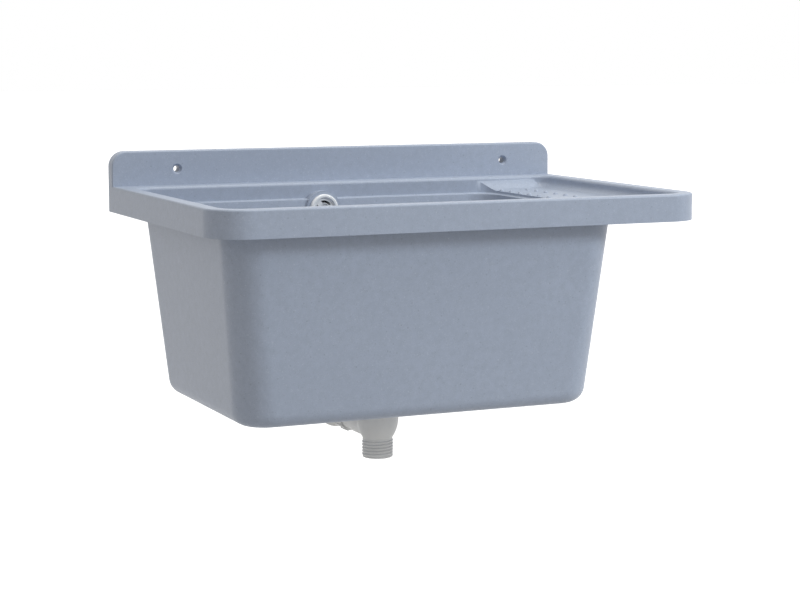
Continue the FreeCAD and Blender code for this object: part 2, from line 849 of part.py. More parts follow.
def build():
    """Every piece of the sink under its own name."""
    down = up * -1
    return {
        "sink_basin": sink_basin(),
        "waste_flange": waste_flange(),
        "waste_screw": waste_screw(),
        "waste_insert": waste_insert(),
        "flange_seal": flange_seal(),
        "body_seal": body_seal(),
        "drain_body": drain_body(),
        "drain_tail": drain_tail(),
        "lower_hose_seal": hose_seal(lower_port_end(), back),
        "lower_hose_nut": hose_nut(lower_port_end(), back),
        "overflow_hose": overflow_hose(),
        "upper_hose_seal": hose_seal(upper_port_end(), down),
        "upper_hose_nut": hose_nut(upper_port_end(), down),
        "overflow_rosette": overflow_rosette(),
        "overflow_screw": overflow_screw(),
        "overflow_seal": overflow_seal(),
        "overflow_elbow": overflow_elbow(),
        "overflow_insert": overflow_insert(),
        "drain_plug": drain_plug(),
        "plug_stud": plug_stud(),
        "plug_bail": plug_bail(),
    }


os.makedirs("parts", exist_ok=True)
for name, shape in build().items():
    shape.exportStep("parts/" + name + ".step")
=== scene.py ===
import math

import bmesh
import bpy
from bpy.props import FloatProperty, FloatVectorProperty, PointerProperty
from mathutils import Matrix, Vector


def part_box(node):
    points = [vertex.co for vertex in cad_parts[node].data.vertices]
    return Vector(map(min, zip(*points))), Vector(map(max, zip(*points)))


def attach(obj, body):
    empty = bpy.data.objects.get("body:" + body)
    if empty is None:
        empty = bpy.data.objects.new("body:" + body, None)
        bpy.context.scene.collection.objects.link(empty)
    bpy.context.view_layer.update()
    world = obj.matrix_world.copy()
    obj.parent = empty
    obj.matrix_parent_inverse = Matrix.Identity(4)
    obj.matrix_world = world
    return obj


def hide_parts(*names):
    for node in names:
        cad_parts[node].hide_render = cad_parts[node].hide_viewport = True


bl_info = {
    "name": "Wall-mounted sink",
    "version": (1, 0, 0),
    "blender": (4, 5, 0),
    "location": "View3D > Sidebar > Sink",
    "description": "Speckled resin basin, threaded drain, ribbed hose, steel waste and rubber plug",
    "category": "Object",
}

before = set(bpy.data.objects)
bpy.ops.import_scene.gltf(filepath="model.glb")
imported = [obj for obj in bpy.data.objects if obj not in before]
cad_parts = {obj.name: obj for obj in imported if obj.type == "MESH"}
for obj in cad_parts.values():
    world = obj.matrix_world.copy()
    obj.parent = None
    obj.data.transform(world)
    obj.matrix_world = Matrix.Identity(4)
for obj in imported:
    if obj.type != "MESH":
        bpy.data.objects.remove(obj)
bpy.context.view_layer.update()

BASIN_NODE = "sink_basin"
GREY_NODES = ["lower_hose_nut", "upper_hose_nut", "overflow_elbow"]
STEEL_NODES = ["waste_flange", "plug_stud", "plug_bail"]
BRASS_NODES = ["waste_insert", "overflow_insert"]
SEAL_NODES = ["flange_seal", "body_seal", "lower_hose_seal", "upper_hose_seal", "overflow_seal"]
PLUG_NODES = ["drain_plug"]

# Steps around and along the turned and swept pieces
BELL_STEPS = 16
HOLLOW_STEPS = 12
THREAD_ROWS = 88
TAIL_TURN = 128
PORT_TURN = 64
BORE_TURN = 48
RING_TURN = 96
RING_FACE_STEPS = 8
RING_LIP_STEPS = 6
SCREW_TURN = 48
SCREW_ROWS = 60
CROWN_STEPS = 8
HOSE_STEPS = 64
HOSE_ROWS = 900
HOSE_TURN = 40

# Angles in degrees of what repeats around an axis
ARM_ANGLES = (30, 150, 270)
BRIDGE_ANGLES = (10, 130, 250)
SLOT_ANGLES = (0, 90)

# Tail's thread, in thread depths: peak before it is cut flat, fall over one pitch, start at the end
THREAD_PEAK = 1.45
THREAD_FALL = 2.9
THREAD_LEAD = 0.35

# Shares that shape the screws: crown of the head, pitch and depth of the thread, reach of the slots
CROWN_SHARE = 0.75
SCREW_PITCH_SHARE = 0.42
SCREW_THREAD_SHARE = 0.14
SLOT_REACH_SHARE = 0.62

# Shares of the hose's run that its two bends take, and the sharpness of its grooves
DIP_SHARE = 0.13
BEND_SHARE = 0.72
GROOVE_SHARPNESS = 1.6

# Where the port starts inside the bell, and the slack that finds the points of an edge
PORT_START_SHARE = 0.6
TINY_SHARE = 0.001

# Distances in metres at which points are one, in the CAD meshes and in turned or swept ones
NODE_WELD = 1e-6
WELD = 1e-7

# Weight of large faces in the basin's normals, where 50 is even
NORMAL_WEIGHT = 50

# Usual span of a noise, the whole span of a share, and a noise left where and as it is
NOISE_SPAN = (0.3, 0.7)
WHOLE = (0.0, 1.0)
UNMOVED = (0.0, 0.0, 0.0)
UNSTRETCHED = (1.0, 1.0, 1.0)

# Turns a piece made along Z to face the front
TO_FRONT = Matrix.Rotation(math.pi / 2, 4, "X")

# Stage: floor with its glow, light from around, and camera
WHITE = (1.0, 1.0, 1.0)
FLOOR_SIZE = 40.0
GLOW_REACH = (1.1, 1.6)
GLOW_SPAN = (0.42, 1.0)
STUDIO_LIGHT = (0.478, 0.463, 0.449)
CAMERA_PLACE = (-0.98337, -2.38985, 0.15490)
CAMERA_TILT = 82.624
CAMERA_PAN = -24.077
CAMERA_LENS = 89.013
SENSOR_WIDTH = 36.0


def low_high(node):
    """Lowest and highest corner of a node, as vectors."""
    low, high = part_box(node)
    return Vector(low), Vector(high)


def middle(node):
    """Centre of a node's box."""
    low, high = low_high(node)
    return (low + high) / 2


def length_property(name, description, default):
    """A size in metres."""
    return FloatProperty(
        name=name, description=description, default=default, unit="LENGTH", precision=5
    )


def colour_property(name, description, default):
    """A colour of one finish."""
    return FloatVectorProperty(
        name=name, description=description, default=default,
        subtype="COLOR", size=3, min=0.0, max=1.0,
    )


class SinkSizes(bpy.types.PropertyGroup):
    """Sizes of the pieces that are modelled here."""

    bell_radius: length_property("Bell radius", "Outside of the drain body's bell", 0.0255)
    bell_round: length_property("Bell rounding", "Height of the bell's turn to the neck", 0.024)
    bell_drop: length_property("Bell drop", "From the body's top to the foot of the bell", 0.0455)
    body_wall: length_property("Body wall", "Wall of the drain body", 0.0028)
    body_flange_radius: length_property("Body flange radius", "Flange under the tub", 0.034)
    body_flange_height: length_property("Body flange height", "Thickness of that flange", 0.004)
    body_edge: length_property("Body edge", "Broken edges of the drain body", 0.0006)
    tail_radius: length_property("Tail radius", "Crest of the tail's thread", 0.0189)
    tail_bore: length_property("Tail bore", "Inside of the tail", 0.0156)
    neck_radius: length_property("Neck radius", "Plain neck between bell and thread", 0.0182)
    tail_neck: length_property("Tail neck", "Plain length between bell and thread", 0.0012)
    thread_pitch: length_property("Thread pitch", "Rise of the tail's thread in one turn", 0.0038)
    thread_depth: length_property("Thread depth", "Depth of the tail's thread", 0.0011)
    port_radius: length_property("Port radius", "Outside of the drain body's side port", 0.014)
    port_bore: length_property("Port bore", "Inside of the side port", 0.011)
    hub_radius: length_property("Hub radius", "Hub that takes the waste screw", 0.0075)
    hub_height: length_property("Hub height", "Height of the hub", 0.014)
    arm_width: length_property("Arm width", "Width of the hub's arms", 0.004)
    arm_height: length_property("Arm height", "Height of the hub's arms", 0.009)
    insert_radius: length_property("Insert radius", "Socket of the threaded insert", 0.0046)
    insert_length: length_property("Insert length", "Depth of that socket", 0.012)
    screw_bore: length_property("Screw bore", "Bore under the socket", 0.0033)
    ring_radius: length_property("Ring radius", "Outside of the overflow ring", 0.01875)
    ring_height: length_property("Ring height", "How far the ring stands off its pad", 0.0042)
    ring_round: length_property("Ring rounding", "Rounding of the ring's face", 0.0018)
    ring_mouth: length_property("Ring mouth", "Mouth in the ring's face", 0.0146)
    ring_plate: length_property("Ring plate", "Sunk plate's height over the pad", 0.0008)
    ring_plate_sheet: length_property("Plate thickness", "Thickness of the sunk plate", 0.0015)
    ring_hub: length_property("Ring hub", "Recess for the screw's head", 0.0069)
    ring_hub_sink: length_property("Hub sink", "Depth of that recess behind the pad", 0.0015)
    ring_hub_height: length_property("Hub height", "Thickness of the hub", 0.005)
    ring_hub_wall: length_property("Hub wall", "Wall around the recess", 0.0008)
    ring_screw_bore: length_property("Ring screw bore", "Bore for the screw", 0.00245)
    ring_spigot: length_property("Ring spigot", "Spigot in the basin's bore", 0.01215)
    ring_spigot_wall: length_property("Spigot wall", "Wall of the spigot", 0.0013)
    ring_spigot_length: length_property("Spigot length", "Length of the spigot", 0.0085)
    ring_bridge: length_property("Ring bridge", "Width of the bridges between slots", 0.0065)
    hose_radius: length_property("Hose radius", "Crest of the hose's ribs", 0.0142)
    hose_rib_pitch: length_property("Rib pitch", "Distance between the hose's ribs", 0.0044)
    hose_rib_depth: length_property("Rib depth", "Depth of the grooves between ribs", 0.0017)
    hose_cuff_radius: length_property("Cuff radius", "Plain ends of the hose", 0.0122)
    hose_cuff_length: length_property("Cuff length", "Plain length at each end", 0.004)
    hose_collar_radius: length_property("Collar radius", "Collar held by the nut", 0.0135)
    hose_collar_height: length_property("Collar height", "Thickness of the collar", 0.003)
    hose_end_grip: length_property("End grip", "How far the hose's ends stay straight", 0.004)
    hose_sag: length_property("Hose sag", "How far the hose drops below the port", 0.020)
    waste_head_radius: length_property("Waste head", "Head of the waste screw", 0.006)
    waste_head_height: length_property("Waste head height", "Height of that head", 0.0032)
    waste_shank_radius: length_property("Waste shank", "Shank of the waste screw", 0.003)
    overflow_head_radius: length_property("Overflow head", "Head of the overflow screw", 0.0042)
    overflow_head_height: length_property("Overflow head height", "Height of that head", 0.0024)
    overflow_shank_radius: length_property("Overflow shank", "Shank of that screw", 0.0024)
    screw_slot_width: length_property("Slot width", "Width of the screws' cross slots", 0.0011)
    screw_slot_depth: length_property("Slot depth", "Depth of the screws' cross slots", 0.0013)
    rim_level: length_property("Rim level", "Height of the rim's top", -0.020)
    rim_corner: length_property("Rim corner", "Rounding of the rim's front corners", 0.045)
    rim_round: length_property("Rim edge", "Rounding of the rim's edge in the solid", 0.005)
    rim_crisp: length_property("Crisp rim", "Rounding that the moulded rim shows", 0.0026)
    splash_wall: length_property("Backsplash wall", "Thickness of the backsplash", 0.016)
    splash_corner: length_property("Backsplash corner", "Rounding of its upper corners", 0.019)
    splash_round: length_property("Backsplash edge", "Rounding of its edge in the solid", 0.004)
    splash_crisp: length_property("Crisp backsplash", "Rounding that its front edge shows", 0.0022)
    floor_drop: length_property("Floor drop", "How far the floor lies under the origin", 0.88)


class SinkFinishes(bpy.types.PropertyGroup):
    """Colours of the finishes."""

    resin: colour_property("Resin", "Ground colour of the basin", (0.355, 0.405, 0.503))
    resin_light: colour_property("Light fleck", "Light flecks in the resin", (0.58, 0.62, 0.68))
    resin_dark: colour_property("Dark fleck", "Dark flecks in the resin", (0.13, 0.15, 0.19))
    grey_plastic: colour_property("Grey plastic", "Drain, nuts and elbow", (0.79, 0.795, 0.79))
    hose_plastic: colour_property("Hose plastic", "Overflow hose", (0.79, 0.792, 0.785))
    white_plastic: colour_property("White plastic", "Overflow ring", (0.86, 0.875, 0.89))
    steel: colour_property("Steel", "Waste flange, screws, stud and bail", (0.60, 0.60, 0.61))
    brass: colour_property("Brass", "Threaded inserts", (0.72, 0.50, 0.22))
    seal_rubber: colour_property("Seal rubber", "Flat seals", (0.035, 0.035, 0.038))
    plug_rubber: colour_property("Plug rubber", "Stopper", (0.022, 0.022, 0.024))
    floor: colour_property("Floor", "Floor under the sink", (0.55, 0.55, 0.55))


def sizes():
    """The sizes of this scene."""
    return bpy.context.scene.sink_sizes


def finishes():
    """The colours of this scene."""
    return bpy.context.scene.sink_finishes


def node(tree, kind, label, **values):
    """New shader node with values on its named inputs."""
    made = tree.nodes.new(kind)
    made.label = label
    for name, value in values.items():
        made.inputs[name.replace("_", " ")].default_value = value
    return made


def new_finish(name):
    """New node material, with its tree, its shader and its object coordinates."""
    material = bpy.data.materials.new(name)
    material.use_nodes = True
    tree = material.node_tree
    tree.nodes.clear()
    output = tree.nodes.new("ShaderNodeOutputMaterial")
    shader = tree.nodes.new("ShaderNodeBsdfPrincipled")
    tree.links.new(shader.outputs["BSDF"], output.inputs["Surface"])
    place = tree.nodes.new("ShaderNodeTexCoord")
    return material, tree, shader, place.outputs["Object"]


def noise(
    tree, place, label, scale, detail=2.0, roughness=0.5, shift=UNMOVED, stretch=UNSTRETCHED
):
    """Noise on object coordinates, shifted so that layers don't repeat each other."""
    mapping = tree.nodes.new("ShaderNodeMapping")
    mapping.inputs["Location"].default_value = shift
    mapping.inputs["Scale"].default_value = stretch
    tree.links.new(place, mapping.inputs["Vector"])
    texture = node(
        tree, "ShaderNodeTexNoise", label, Scale=scale, Detail=detail, Roughness=roughness
    )
    tree.links.new(mapping.outputs["Vector"], texture.inputs["Vector"])
    return texture.outputs["Fac"]


def specks(tree, place, label, scale, size, strength):
    """Share of sparse round specks, one in each cell of a scattered grid."""
    texture = node(tree, "ShaderNodeTexVoronoi", label, Scale=scale)
    tree.links.new(place, texture.inputs["Vector"])
    return spread(tree, texture.outputs["Distance"], (size / 2, size), (strength, 0.0))


def spread(tree, value, span, result=WHOLE):
    """Value brought from one range into another."""
    made = node(
        tree, "ShaderNodeMapRange", "spread",
        From_Min=span[0], From_Max=span[1], To_Min=result[0], To_Max=result[1],
    )
    made.clamp = True
    tree.links.new(value, made.inputs["Value"])
    return made.outputs["Result"]


def mixed(tree, share, first, second):
    """Colour between two; each is a socket or a plain colour."""
    made = tree.nodes.new("ShaderNodeMix")
    made.data_type = "RGBA"
    made.clamp_factor = True
    tree.links.new(share, made.inputs["Factor"])
    for name, colour in (("A", first), ("B", second)):
        socket = [s for s in made.inputs if s.name == name and s.type == "RGBA"][0]
        if isinstance(colour, bpy.types.NodeSocket):
            tree.links.new(colour, socket)
        else:
            socket.default_value = (*colour, 1.0)
    return [s for s in made.outputs if s.type == "RGBA"][0]


def bumped(tree, shader, height, strength, distance):
    """Fine relief from a height."""
    bump = node(tree, "ShaderNodeBump", "relief", Strength=strength, Distance=distance)
    tree.links.new(height, bump.inputs["Height"])
    tree.links.new(bump.outputs["Normal"], shader.inputs["Normal"])


def scaled(colour, share):
    """Colour made lighter or darker."""
    return tuple(min(1.0, c * share) for c in colour)


def resin_finish():
    """Satin moulded resin with soft mottle, fine flecks and sparse specks."""
    look = finishes()
    light = tuple(look.resin_light)
    dark = tuple(look.resin_dark)
    material, tree, shader, place = new_finish("speckled_resin")
    cloud = spread(tree, noise(tree, place, "clouding", scale=9.0, detail=3.0), NOISE_SPAN)
    ground = mixed(tree, cloud, tuple(look.resin), scaled(look.resin, 1.05))
    mottle = noise(tree, place, "mottle", scale=125.0, roughness=0.6, shift=(0.0, 0.0, 2.3))
    ground = mixed(tree, spread(tree, mottle, NOISE_SPAN), scaled(look.resin, 0.95), ground)
    flecks = (
        ("light flecks", 780.0, (3.1, 0.0, 0.0), (0.61, 0.71), (0.0, 0.24), light),
        ("dark flecks", 690.0, (0.0, 7.3, 0.0), (0.63, 0.71), (0.0, 0.18), dark),
    )
    for label, scale, shift, span, strength, colour in flecks:
        fleck = noise(tree, place, label, scale, detail=1.0, roughness=0.4, shift=shift)
        ground = mixed(tree, spread(tree, fleck, span, strength), ground, colour)
    dark_share = specks(tree, place, "dark specks", scale=105.0, size=0.125, strength=0.26)
    ground = mixed(tree, dark_share, ground, dark)
    light_share = specks(tree, place, "light specks", scale=112.0, size=0.115, strength=0.3)
    ground = mixed(tree, light_share, ground, light)
    tree.links.new(ground, shader.inputs["Base Color"])
    grain = noise(tree, place, "skin", scale=1500.0, roughness=0.6, shift=(0.0, 0.0, 5.9))
    tree.links.new(spread(tree, grain, NOISE_SPAN, (0.36, 0.48)), shader.inputs["Roughness"])
    bumped(tree, shader, grain, strength=0.06, distance=0.0002)
    shader.inputs["IOR"].default_value = 1.46
    return material


def plastic_finish(name, colour, rough, relief, coat=0.0):
    """Moulded plastic with slight flow clouding and a fine skin."""
    material, tree, shader, place = new_finish(name)
    cloud = spread(tree, noise(tree, place, "flow", scale=38.0, detail=3.0), NOISE_SPAN)
    ground = mixed(tree, cloud, scaled(colour, 0.96), scaled(colour, 1.03))
    tree.links.new(ground, shader.inputs["Base Color"])
    grain = noise(tree, place, "skin", scale=1900.0, roughness=0.55, shift=(0.0, 4.7, 0.0))
    tree.links.new(spread(tree, grain, NOISE_SPAN, rough), shader.inputs["Roughness"])
    bumped(tree, shader, grain, strength=relief, distance=0.0002)
    shader.inputs["Coat Weight"].default_value = coat
    return material


def metal_finish(name, colour, rough, stretch=UNSTRETCHED):
    """Brushed or turned metal with fine drawn lines and faint tarnish."""
    material, tree, shader, place = new_finish(name)
    shader.inputs["Metallic"].default_value = 1.0
    lines = noise(
        tree, place, "drawn lines", scale=260.0, detail=4.0, roughness=0.65,
        shift=(1.7, 0.0, 0.0), stretch=stretch,
    )
    cloud = spread(tree, noise(tree, place, "tarnish", scale=55.0, detail=3.0), (0.35, 0.75))
    ground = mixed(tree, cloud, scaled(colour, 1.04), scaled(colour, 0.9))
    tree.links.new(ground, shader.inputs["Base Color"])
    tree.links.new(spread(tree, lines, NOISE_SPAN, rough), shader.inputs["Roughness"])
    bumped(tree, shader, lines, strength=0.08, distance=0.0001)
    return material


def rubber_finish(name, colour):
    """Matt rubber with a dusty bloom."""
    material, tree, shader, place = new_finish(name)
    dust = noise(tree, place, "bloom", scale=140.0, detail=4.0, roughness=0.6)
    ground = mixed(tree, spread(tree, dust, (0.4, 0.75)), tuple(colour), scaled(colour, 1.9))
    tree.links.new(ground, shader.inputs["Base Color"])
    grain = noise(
        tree, place, "skin", scale=1300.0, detail=3.0, roughness=0.6, shift=(0.0, 2.9, 0.0)
    )
    tree.links.new(spread(tree, grain, NOISE_SPAN, (0.55, 0.72)), shader.inputs["Roughness"])
    bumped(tree, shader, grain, strength=0.12, distance=0.0002)
    return material


def dress(names, material):
    """One finish on the CAD nodes of that name."""
    for name in names:
        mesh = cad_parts[name].data
        mesh.materials.clear()
        mesh.materials.append(material)


def add_piece(name, mesh, body, slot, material, *nodes):
    """Finished piece that rides on a body and stands for its nodes."""
    mesh.materials.clear()
    mesh.materials.append(material)
    piece = bpy.data.objects.new(name, mesh)
    bpy.context.scene.collection.objects.link(piece)
    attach(piece, body)
    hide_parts(*nodes)


def smoothed(mesh, degrees):
    """Smooth shading with edges sharper than an angle kept crisp."""
    mesh.shade_smooth()
    mesh.set_sharp_from_angle(angle=math.radians(degrees))
    return mesh


def merged_copy(name, source):
    """Copy of a node's mesh with its triangles joined, without its stored normals and creases."""
    mesh = source.data.copy()
    mesh.name = name
    for layer in ("custom_normal", "sharp_edge"):
        if layer in mesh.attributes:
            mesh.attributes.remove(mesh.attributes[layer])
    work = bmesh.new()
    work.from_mesh(mesh)
    bmesh.ops.remove_doubles(work, verts=work.verts, dist=NODE_WELD)
    work.to_mesh(mesh)
    work.free()
    return mesh


def from_outline(place, low, high, corner):
    """Distance of a place outside a rounded rectangle, negative inside, and the way out."""
    centre = (low + high) / 2
    half = (high - low) / 2
    x = place.x - centre.x
    y = place.y - centre.y
    side = Vector((math.copysign(1.0, x), math.copysign(1.0, y)))
    past = Vector((abs(x) - half.x + corner, abs(y) - half.y + corner))
    if past.x > 0 and past.y > 0:
        return past.length - corner, past.normalized() * side
    if past.x > past.y:
        return past.x - corner, Vector((side.x, 0.0))
    return past.y - corner, Vector((0.0, side.y))


def crisp_edge(mesh, level, low, high, corner, old, new):
    """Draws the rounding around an upper face out towards a sharp edge, from old to new radius."""
    tiny = old * TINY_SHARE
    shrink = 1 - new / old
    for vertex in mesh.vertices:
        drop = level - vertex.co.z
        if not -tiny <= drop <= old + tiny:
            continue
        away, out = from_outline(vertex.co, low, high, corner)
        if -old - tiny <= away <= tiny:
            vertex.co.x -= out.x * away * shrink
            vertex.co.y -= out.y * away * shrink
            vertex.co.z += drop * shrink


def crisp_basin(mesh):
    """Gives the rim and the backsplash outer edges that show a thin highlight."""
    size = sizes()
    low, high = low_high(BASIN_NODE)
    past_wall = high.y - low.y
    crisp_edge(
        mesh, size.rim_level, low.to_2d(), Vector((high.x, high.y + past_wall)),
        size.rim_corner, size.rim_round, size.rim_crisp,
    )
    front_up = Matrix.Rotation(math.radians(-90), 4, "X")
    mesh.transform(front_up)
    crisp_edge(
        mesh, size.splash_wall, Vector((low.x, low.z)), Vector((high.x, high.z)),
        size.splash_corner, size.splash_round, size.splash_crisp,
    )
    mesh.transform(front_up.inverted())
    return mesh


def flat_weighted(mesh):
    """Mesh with smooth normals that keep flat walls flat beside their roundings."""
    holder = bpy.data.objects.new("holder", mesh)
    bpy.context.scene.collection.objects.link(holder)
    modifier = holder.modifiers.new("normals", "WEIGHTED_NORMAL")
    modifier.mode = "FACE_AREA_WITH_ANGLE"
    modifier.weight = NORMAL_WEIGHT
    modifier.keep_sharp = True
    view = bpy.context.evaluated_depsgraph_get()
    made = bpy.data.meshes.new_from_object(
        holder.evaluated_get(view), preserve_all_data_layers=True, depsgraph=view
    )
    bpy.data.objects.remove(holder)
    return made


def lathe(profile, steps, turn=None):
    """Closed mesh from an outline of (radius, height) turned about Z; turn may shift a radius."""
    mesh = bpy.data.meshes.new("lathe")
    work = bmesh.new()
    rings = []
    for step in range(steps):
        angle = 2 * math.pi * step / steps
        ring = []
        for radius, height in profile:
            r = turn(radius, height, angle) if turn else radius
            ring.append(work.verts.new((r * math.cos(angle), r * math.sin(angle), height)))
        rings.append(ring)
    count = len(profile)
    for step in range(steps):
        this = rings[step]
        after = rings[(step + 1) % steps]
        for i in range(count):
            j = (i + 1) % count
            work.faces.new((this[i], after[i], after[j], this[j]))
    bmesh.ops.remove_doubles(work, verts=work.verts, dist=WELD)
    bmesh.ops.recalc_face_normals(work, faces=work.faces)
    work.to_mesh(mesh)
    work.free()
    return mesh


def bar(width, height, x0, x1, z):
    """Box along X, centred on Y, with its top at z."""
    mesh = bpy.data.meshes.new("bar")
    work = bmesh.new()
    bmesh.ops.create_cube(work, size=1.0)
    place = Matrix.Translation(((x0 + x1) / 2, 0.0, z - height / 2))
    stretch = Matrix.Diagonal((x1 - x0, width, height, 1.0))
    bmesh.ops.transform(work, matrix=place @ stretch, verts=work.verts)
    work.to_mesh(mesh)
    work.free()
    return mesh


def combined(base, steps):
    """Mesh of a base with other meshes joined to it or cut from it, in order."""
    scene = bpy.context.scene
    subject = bpy.data.objects.new("subject", base)
    scene.collection.objects.link(subject)
    tools = []
    for operation, mesh in steps:
        tool = bpy.data.objects.new("tool", mesh)
        scene.collection.objects.link(tool)
        tools.append(tool)
        modifier = subject.modifiers.new("combine", "BOOLEAN")
        modifier.operation = operation
        modifier.solver = "EXACT"
        modifier.object = tool
    view = bpy.context.evaluated_depsgraph_get()
    mesh = bpy.data.meshes.new_from_object(subject.evaluated_get(view))
    for made in [subject] + tools:
        bpy.data.objects.remove(made)
    return mesh


def inward_arc(wide, narrow, top, height, steps):
    """Points of an upright wall that turns in on an arc, from its top down."""
    inset = wide - narrow
    radius = (height * height + inset * inset) / (2 * inset)
    points = []
    for i in range(steps + 1):
        fall = height * i / steps
        points.append((wide - radius + math.sqrt(radius * radius - fall * fall), top - fall))
    return points


def quarter(centre_r, centre_z, span_r, span_z, first, last, steps):
    """Points of an elliptic quarter, angles in degrees."""
    points = []
    for i in range(steps + 1):
        angle = math.radians(first + (last - first) * i / steps)
        points.append((centre_r + span_r * math.cos(angle), centre_z + span_z * math.sin(angle)))
    return points


def rod(radius, start, end, steps):
    """Closed cylinder about Z between two heights."""
    return lathe([(0.0, start), (radius, start), (radius, end), (0.0, end)], steps)


def turned_copies(make, angles):
    """Meshes that repeat about Z at the given angles."""
    copies = []
    for angle in angles:
        mesh = make()
        mesh.transform(Matrix.Rotation(math.radians(angle), 4, "Z"))
        copies.append(mesh)
    return copies


def drain_levels():
    """Heights of the drain body's top, of its bell's foot and of its tail's end."""
    top = low_high("drain_body")[1].z
    return top, top - sizes().bell_drop, low_high("drain_tail")[0].z


def bell_bore():
    """Inside radius of the drain body's bell."""
    return sizes().bell_radius - sizes().body_wall


def drain_hollow():
    """Outline of the hollow in the bell, from the tail's bore up to the wall."""
    size = sizes()
    round_top = drain_levels()[1] + size.bell_round
    return inward_arc(bell_bore(), size.tail_bore, round_top, size.bell_round, HOLLOW_STEPS)[::-1]


def drain_shell():
    """Rounded bell with its flange, over a tail with a helical thread."""
    size = sizes()
    top, foot, end = drain_levels()
    crest = size.tail_radius
    root = crest - size.thread_depth
    neck = size.neck_radius
    edge = size.body_edge
    flange = size.body_flange_radius
    flange_low = top - size.body_flange_height
    bowl = inward_arc(size.bell_radius, neck, foot + size.bell_round, size.bell_round, BELL_STEPS)
    thread_top = foot - size.tail_neck
    fall = end + edge - thread_top
    thread = [(crest, thread_top + fall * i / THREAD_ROWS) for i in range(THREAD_ROWS + 1)]
    outline = [(flange - edge, top), (flange, top - edge)]
    outline += [(flange, flange_low + edge), (flange - edge, flange_low)]
    outline += [(size.bell_radius + edge, flange_low), (size.bell_radius, flange_low - edge)]
    outline += bowl + thread + [(root - edge, end), (size.tail_bore, end)] + drain_hollow()
    outline.append((bell_bore(), top))
    slack = edge / 10

    def threaded(radius, height, angle):
        past_ends = height > thread_top + slack or height < end + edge / 2
        if past_ends or radius < crest - slack:
            return radius
        phase = (height / size.thread_pitch - angle / (2 * math.pi)) % 1.0
        ridge = min(1.0, max(0.0, THREAD_PEAK - THREAD_FALL * abs(phase - 0.5)))
        start = min(1.0, 2 * (thread_top - height) / size.thread_pitch)
        lead = min(1.0, (height - end) / size.thread_pitch + THREAD_LEAD)
        return neck + start * (root + (crest - root) * ridge * lead - neck)

    return lathe(outline, TAIL_TURN, threaded)


def drain_port():
    """Steps that join the side port for the hose to the bell and bore it."""
    size = sizes()
    edge = size.body_edge
    top = drain_levels()[0] - edge
    radius = size.port_radius
    start = bell_bore() * PORT_START_SHARE
    reach = low_high("drain_body")[1].y - middle("waste_flange").y
    height = Matrix.Translation((0.0, 0.0, middle("lower_hose_seal").z))
    turn_back = height @ Matrix.Rotation(-math.pi / 2, 4, "X")
    port = lathe([
        (0.0, start), (radius, start), (radius, reach - edge), (radius - edge, reach), (0.0, reach),
    ], PORT_TURN)
    port.transform(turn_back)
    hollow = drain_hollow()
    room = [(0.0, top), (bell_bore(), top)] + hollow[::-1] + [(0.0, hollow[0][1])]
    port = combined(port, [("DIFFERENCE", lathe(room, PORT_TURN))])
    port_bore = rod(size.port_bore, 0.0, 2 * reach, BORE_TURN)
    port_bore.transform(turn_back)
    return [("UNION", port), ("DIFFERENCE", port_bore)]


def drain_spider():
    """Steps that join three arms and a hub to the bell, with the insert's socket and a bore."""
    size = sizes()
    top = low_high("waste_insert")[1].z
    arm_end = bell_bore() + size.body_wall / 2

    def arm():
        return bar(size.arm_width, size.arm_height, size.hub_radius / 2, arm_end, top)

    steps = [("UNION", mesh) for mesh in turned_copies(arm, ARM_ANGLES)]
    steps.append(("UNION", rod(size.hub_radius, top, top - size.hub_height, BORE_TURN)))
    over = top + size.body_edge
    socket_end = top - size.insert_length
    bore_end = top - 2 * size.hub_height
    steps.append(("DIFFERENCE", lathe([
        (0.0, over), (size.insert_radius, over), (size.insert_radius, socket_end),
        (size.screw_bore, socket_end), (size.screw_bore, bore_end), (0.0, bore_end),
    ], BORE_TURN)))
    return steps


def drain_body_mesh():
    """Bell, tail, side port and spider in one, set on the drain's axis."""
    mesh = combined(drain_shell(), drain_port() + drain_spider())
    axis = middle("waste_flange")
    mesh.transform(Matrix.Translation((axis.x, axis.y, 0.0)))
    return mesh


def overflow_ring_mesh():
    """Round-faced ring with a sunk, slotted plate and a screw hub; its pad lies at z = 0."""
    size = sizes()
    mouth = size.ring_mouth
    face = size.ring_height
    turn = size.ring_round
    lip = turn / 2
    plate = size.ring_plate
    plate_low = plate - size.ring_plate_sheet
    sink = -size.ring_hub_sink
    hub_low = sink - size.ring_hub_height
    hub_out = size.ring_hub + size.ring_hub_wall
    bore = size.ring_spigot - size.ring_spigot_wall
    spigot_end = -size.ring_spigot_length
    outline = [(size.ring_radius, 0.0)]
    outline += quarter(size.ring_radius - turn, face - turn, turn, turn, 0, 90, RING_FACE_STEPS)
    outline += quarter(mouth + lip, face - lip, lip, lip, 90, 180, RING_LIP_STEPS)
    outline += [(mouth - lip / 2, plate), (size.ring_hub, plate), (size.ring_hub, sink)]
    outline += [(size.ring_screw_bore, sink), (size.ring_screw_bore, hub_low), (hub_out, hub_low)]
    outline += [(hub_out, plate_low), (bore, plate_low), (bore, spigot_end)]
    outline += [(size.ring_spigot, spigot_end), (size.ring_spigot, 0.0)]
    gap = [(hub_out, plate + lip), (bore, plate + lip)]
    gap += [(bore, plate_low - lip), (hub_out, plate_low - lip)]

    def bridge():
        return bar(size.ring_bridge, size.ring_plate_sheet, hub_out - lip, bore + lip, plate)

    steps = [("DIFFERENCE", lathe(gap, RING_TURN))]
    steps += [("UNION", mesh) for mesh in turned_copies(bridge, BRIDGE_ANGLES)]
    return combined(lathe(outline, RING_TURN), steps)


